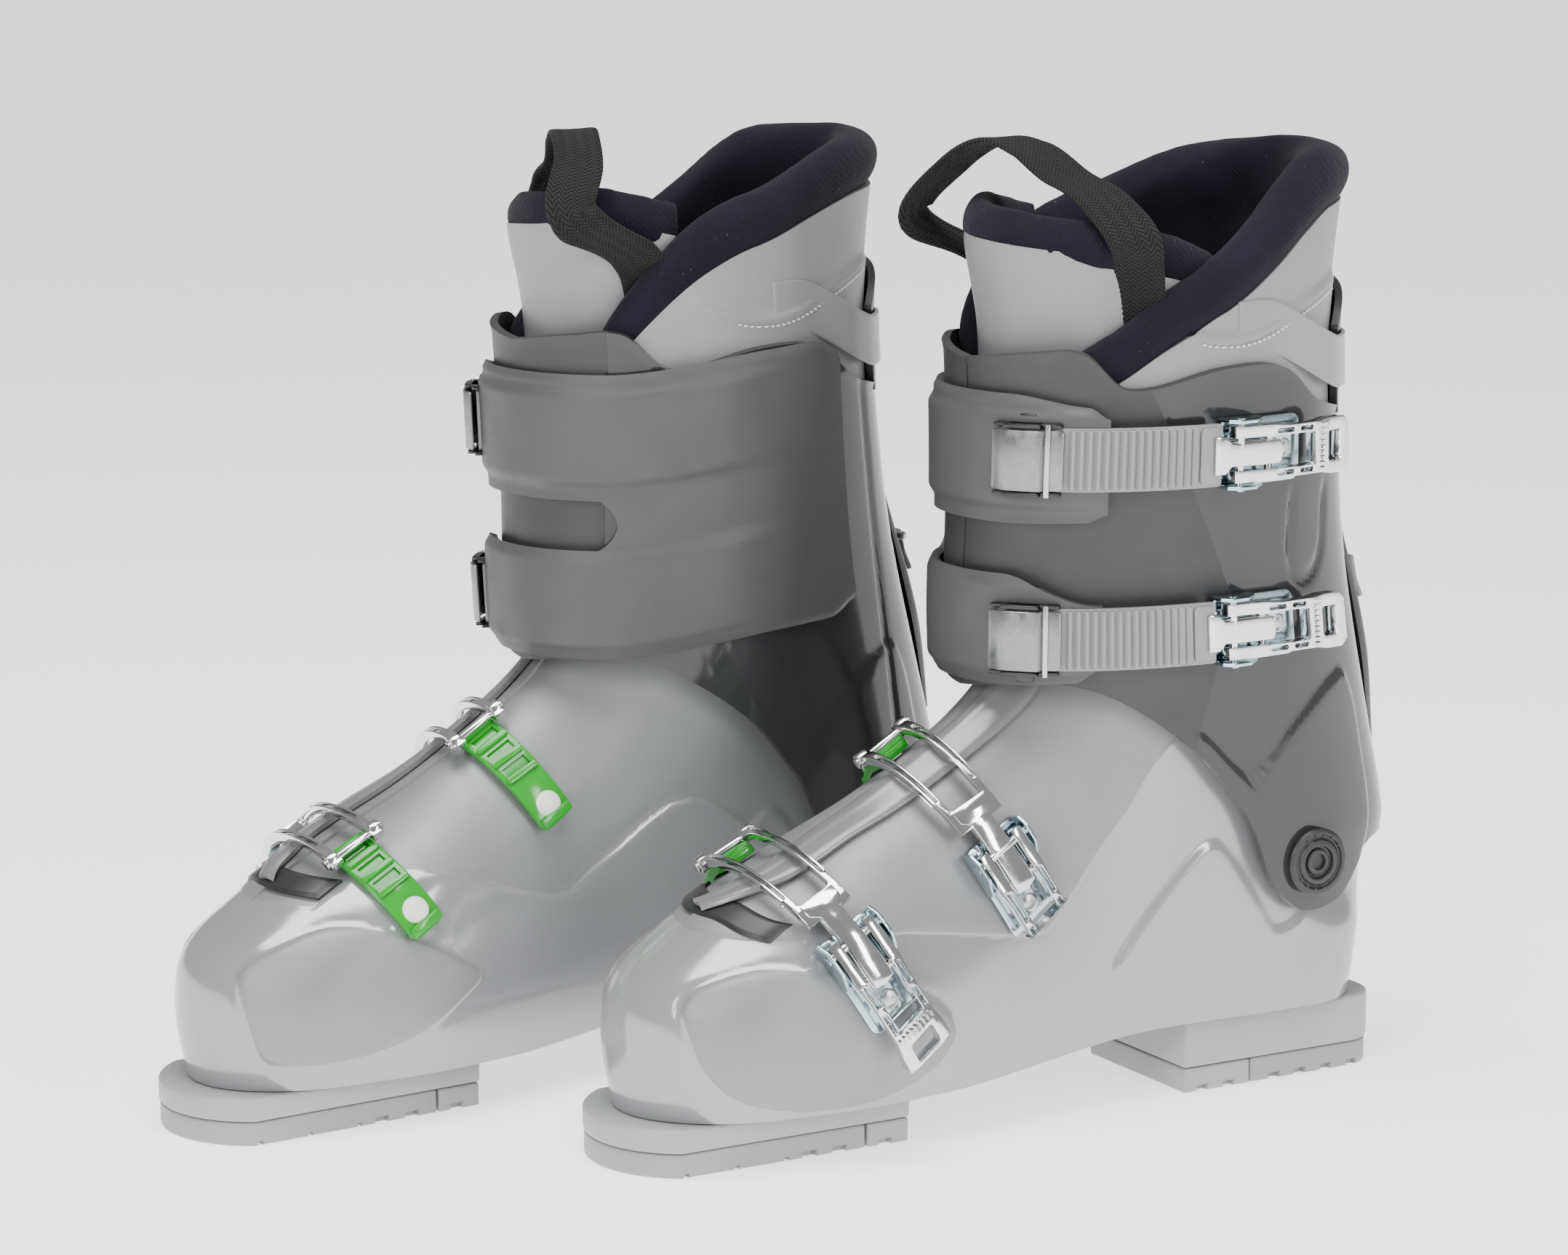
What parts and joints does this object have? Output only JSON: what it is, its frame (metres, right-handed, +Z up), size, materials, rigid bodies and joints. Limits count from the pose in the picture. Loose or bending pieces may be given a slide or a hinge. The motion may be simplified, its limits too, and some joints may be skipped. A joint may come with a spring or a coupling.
{
  "type": "pair of alpine ski boots",
  "caption": "Alpine ski boots, left and right, with hinged cuffs, ratchet straps, over-centre buckles, toe and heel lugs and soft liners.",
  "frame": {"origin": "on the floor, under the middle of the outline of the pair as it stands", "axes": "+Z up, the toes of the left boot point along -Y, +X is towards the left boot's outer side"},
  "size_m": [0.288, 0.4892, 0.3862],
  "materials": {
    "shell_plastic": "smooth moulded grey, slight sheen",
    "sole_plastic": "fine-textured moulded grey",
    "cuff_plastic": "glossy dark grey",
    "flap_plastic": "satin dark grey",
    "dark_plastic": "matte near-black",
    "strap_plastic": "satin mid grey",
    "liner_fabric": "woven grey cloth with a navy lining",
    "webbing": "black herringbone webbing",
    "lever_metal": "polished",
    "base_metal": "zinc-plated, bluish",
    "ladder_plastic": "glossy bright green",
    "rivet_metal": "dark plated"
  },
  "bodies": {
    "shells": {"left_lower_shell": "shell_plastic", "left_toe_sole": "sole_plastic", "left_heel_sole": "sole_plastic", "left_pivot_lateral": "rivet_metal", "left_pivot_medial": "rivet_metal", "left_liner_foot": "liner_fabric", "left_toe_ladder": "ladder_plastic", "left_toe_base": "base_metal", "left_instep_ladder": "ladder_plastic", "left_instep_base": "base_metal", "right_lower_shell": "shell_plastic", "right_toe_sole": "sole_plastic", "right_heel_sole": "sole_plastic", "right_pivot_lateral": "rivet_metal", "right_pivot_medial": "rivet_metal", "right_liner_foot": "liner_fabric", "right_toe_ladder": "ladder_plastic", "right_toe_base": "base_metal", "right_instep_ladder": "ladder_plastic", "right_instep_base": "base_metal"},
    "left_cuff_body": {"left_cuff_shell": "cuff_plastic", "left_cuff_flap": "flap_plastic", "left_liner_leg": "liner_fabric", "left_tongue": "liner_fabric", "left_pull_loop": "webbing", "left_spoiler": "dark_plastic", "left_spine_plate": "dark_plastic", "left_lower_base": "base_metal", "left_upper_base": "base_metal"},
    "left_walk_lever_body": {"left_walk_lever": "strap_plastic"},
    "left_toe_lever_body": {"left_toe_lever": "lever_metal"},
    "left_toe_pull_body": {"left_toe_bail": "lever_metal"},
    "left_instep_lever_body": {"left_instep_lever": "lever_metal"},
    "left_instep_pull_body": {"left_instep_bail": "lever_metal"},
    "left_lower_lever_body": {"left_lower_lever": "lever_metal"},
    "left_lower_pull_body": {"left_lower_strap": "strap_plastic"},
    "left_upper_lever_body": {"left_upper_lever": "lever_metal"},
    "left_upper_pull_body": {"left_upper_strap": "strap_plastic"},
    "left_lower_catch_body": {"left_lower_catch": "lever_metal"},
    "left_upper_catch_body": {"left_upper_catch": "lever_metal"},
    "right_cuff_body": {"right_cuff_shell": "cuff_plastic", "right_cuff_flap": "flap_plastic", "right_liner_leg": "liner_fabric", "right_tongue": "liner_fabric", "right_pull_loop": "webbing", "right_spoiler": "dark_plastic", "right_spine_plate": "dark_plastic", "right_lower_base": "base_metal", "right_upper_base": "base_metal"},
    "right_walk_lever_body": {"right_walk_lever": "strap_plastic"},
    "right_toe_lever_body": {"right_toe_lever": "lever_metal"},
    "right_toe_pull_body": {"right_toe_bail": "lever_metal"},
    "right_instep_lever_body": {"right_instep_lever": "lever_metal"},
    "right_instep_pull_body": {"right_instep_bail": "lever_metal"},
    "right_lower_lever_body": {"right_lower_lever": "lever_metal"},
    "right_lower_pull_body": {"right_lower_strap": "strap_plastic"},
    "right_upper_lever_body": {"right_upper_lever": "lever_metal"},
    "right_upper_pull_body": {"right_upper_strap": "strap_plastic"},
    "right_lower_catch_body": {"right_lower_catch": "lever_metal"},
    "right_upper_catch_body": {"right_upper_catch": "lever_metal"}
  },
  "joints": [
    {"name": "left_cuff_tilt", "type": "hinge", "parent": "shells", "child": "left_cuff_body", "pos_m": [0.07067, 0.18424, 0.094], "axis": [-1, 0, 0], "range_deg": [0, 7]},
    {"name": "left_walk_lever_swing", "type": "hinge", "parent": "left_cuff_body", "child": "left_walk_lever_body", "pos_m": [0.07288, 0.23297, 0.206], "axis": [1, 0, 0], "range_deg": [0, 25]},
    {"name": "left_toe_buckle", "type": "hinge", "parent": "shells", "child": "left_toe_lever_body", "pos_m": [0.12506, -0.03414, 0.08992], "axis": [0.0872, -0.878, -0.4706], "range_deg": [0, 110]},
    {"name": "left_toe_link", "type": "hinge", "parent": "left_toe_lever_body", "child": "left_toe_pull_body", "pos_m": [0.12814, -0.02603, 0.07642], "axis": [0.0872, -0.878, -0.4706], "range_deg": [-110, 0]},
    {"name": "left_instep_buckle", "type": "hinge", "parent": "shells", "child": "left_instep_lever_body", "pos_m": [0.11616, 0.03771, 0.11492], "axis": [0.1176, -0.8695, -0.4797], "range_deg": [0, 110]},
    {"name": "left_instep_link", "type": "hinge", "parent": "left_instep_lever_body", "child": "left_instep_pull_body", "pos_m": [0.11682, 0.0452, 0.10246], "axis": [0.1176, -0.8695, -0.4797], "range_deg": [-110, 0]},
    {"name": "left_lower_buckle", "type": "hinge", "parent": "left_cuff_body", "child": "left_lower_lever_body", "pos_m": [0.13472, 0.13215, 0.195], "axis": [-0.0914, 0.1269, -0.9877], "range_deg": [0, 110]},
    {"name": "left_lower_link", "type": "hinge", "parent": "left_lower_lever_body", "child": "left_lower_pull_body", "pos_m": [0.13255, 0.14732, 0.195], "axis": [-0.0914, 0.1269, -0.9877], "range_deg": [-110, 0]},
    {"name": "left_upper_buckle", "type": "hinge", "parent": "left_cuff_body", "child": "left_upper_lever_body", "pos_m": [0.14126, 0.12926, 0.266], "axis": [-0.0946, 0.0607, -0.9937], "range_deg": [0, 110]},
    {"name": "left_upper_link", "type": "hinge", "parent": "left_upper_lever_body", "child": "left_upper_pull_body", "pos_m": [0.13882, 0.14439, 0.266], "axis": [-0.0946, 0.0607, -0.9937], "range_deg": [-110, 0]},
    {"name": "left_lower_release", "type": "hinge", "parent": "left_cuff_body", "child": "left_lower_catch_body", "pos_m": [0.09807, 0.04337, 0.195], "axis": [-0.0562, 0.0236, -0.9981], "range_deg": [0, 12], "stiffness_Nm_per_rad": 0.3},
    {"name": "left_upper_release", "type": "hinge", "parent": "left_cuff_body", "child": "left_upper_catch_body", "pos_m": [0.10032, 0.04304, 0.266], "axis": [-0.0547, 0.0105, -0.9984], "range_deg": [0, 12], "stiffness_Nm_per_rad": 0.3},
    {"name": "right_cuff_tilt", "type": "hinge", "parent": "shells", "child": "right_cuff_body", "pos_m": [-0.07153, 0.05784, 0.094], "axis": [-0.9969, -0.0785, 0], "range_deg": [0, 7]},
    {"name": "right_walk_lever_swing", "type": "hinge", "parent": "right_cuff_body", "child": "right_walk_lever_body", "pos_m": [-0.07755, 0.10624, 0.206], "axis": [0.9969, 0.0785, 0], "range_deg": [0, 25]},
    {"name": "right_toe_buckle", "type": "hinge", "parent": "shells", "child": "right_toe_lever_body", "pos_m": [-0.10862, -0.16414, 0.08992], "axis": [0.0181, 0.8822, 0.4706], "range_deg": [0, 110]},
    {"name": "right_toe_link", "type": "hinge", "parent": "right_toe_lever_body", "child": "right_toe_pull_body", "pos_m": [-0.11232, -0.15629, 0.07642], "axis": [0.0181, 0.8822, 0.4706], "range_deg": [-110, 0]},
    {"name": "right_instep_buckle", "type": "hinge", "parent": "shells", "child": "right_instep_lever_body", "pos_m": [-0.10538, -0.0918, 0.11492], "axis": [0.049, 0.8761, 0.4797], "range_deg": [0, 110]},
    {"name": "right_instep_link", "type": "hinge", "parent": "right_instep_lever_body", "child": "right_instep_pull_body", "pos_m": [-0.10662, -0.08439, 0.10246], "axis": [0.049, 0.8761, 0.4797], "range_deg": [-110, 0]},
    {"name": "right_lower_buckle", "type": "hinge", "parent": "right_cuff_body", "child": "right_lower_lever_body", "pos_m": [-0.1313, 0.00089, 0.195], "axis": [-0.0811, -0.1337, 0.9877], "range_deg": [0, 110]},
    {"name": "right_lower_link", "type": "hinge", "parent": "right_lower_lever_body", "child": "right_lower_pull_body", "pos_m": [-0.13032, 0.01617, 0.195], "axis": [-0.0811, -0.1337, 0.9877], "range_deg": [-110, 0]},
    {"name": "right_upper_buckle", "type": "hinge", "parent": "right_cuff_body", "child": "right_upper_lever_body", "pos_m": [-0.13759, -0.00251, 0.266], "axis": [-0.0896, -0.0679, 0.9937], "range_deg": [0, 110]},
    {"name": "right_upper_link", "type": "hinge", "parent": "right_upper_lever_body", "child": "right_upper_pull_body", "pos_m": [-0.13634, 0.01277, 0.266], "axis": [-0.0896, -0.0679, 0.9937], "range_deg": [-110, 0]},
    {"name": "right_lower_release", "type": "hinge", "parent": "right_cuff_body", "child": "right_lower_catch_body", "pos_m": [-0.0878, -0.08475, 0.195], "axis": [-0.0542, -0.028, 0.9981], "range_deg": [0, 12], "stiffness_Nm_per_rad": 0.3},
    {"name": "right_upper_release", "type": "hinge", "parent": "right_cuff_body", "child": "right_upper_catch_body", "pos_m": [-0.09001, -0.08525, 0.266], "axis": [-0.0538, -0.0148, 0.9984], "range_deg": [0, 12], "stiffness_Nm_per_rad": 0.3}
  ],
  "couplings": [
    {"joint": "left_toe_link", "follows": "left_toe_buckle", "ratio": -1},
    {"joint": "left_instep_link", "follows": "left_instep_buckle", "ratio": -1},
    {"joint": "left_lower_link", "follows": "left_lower_buckle", "ratio": -1},
    {"joint": "left_upper_link", "follows": "left_upper_buckle", "ratio": -1},
    {"joint": "right_toe_link", "follows": "right_toe_buckle", "ratio": -1},
    {"joint": "right_instep_link", "follows": "right_instep_buckle", "ratio": -1},
    {"joint": "right_lower_link", "follows": "right_lower_buckle", "ratio": -1},
    {"joint": "right_upper_link", "follows": "right_upper_buckle", "ratio": -1}
  ]
}
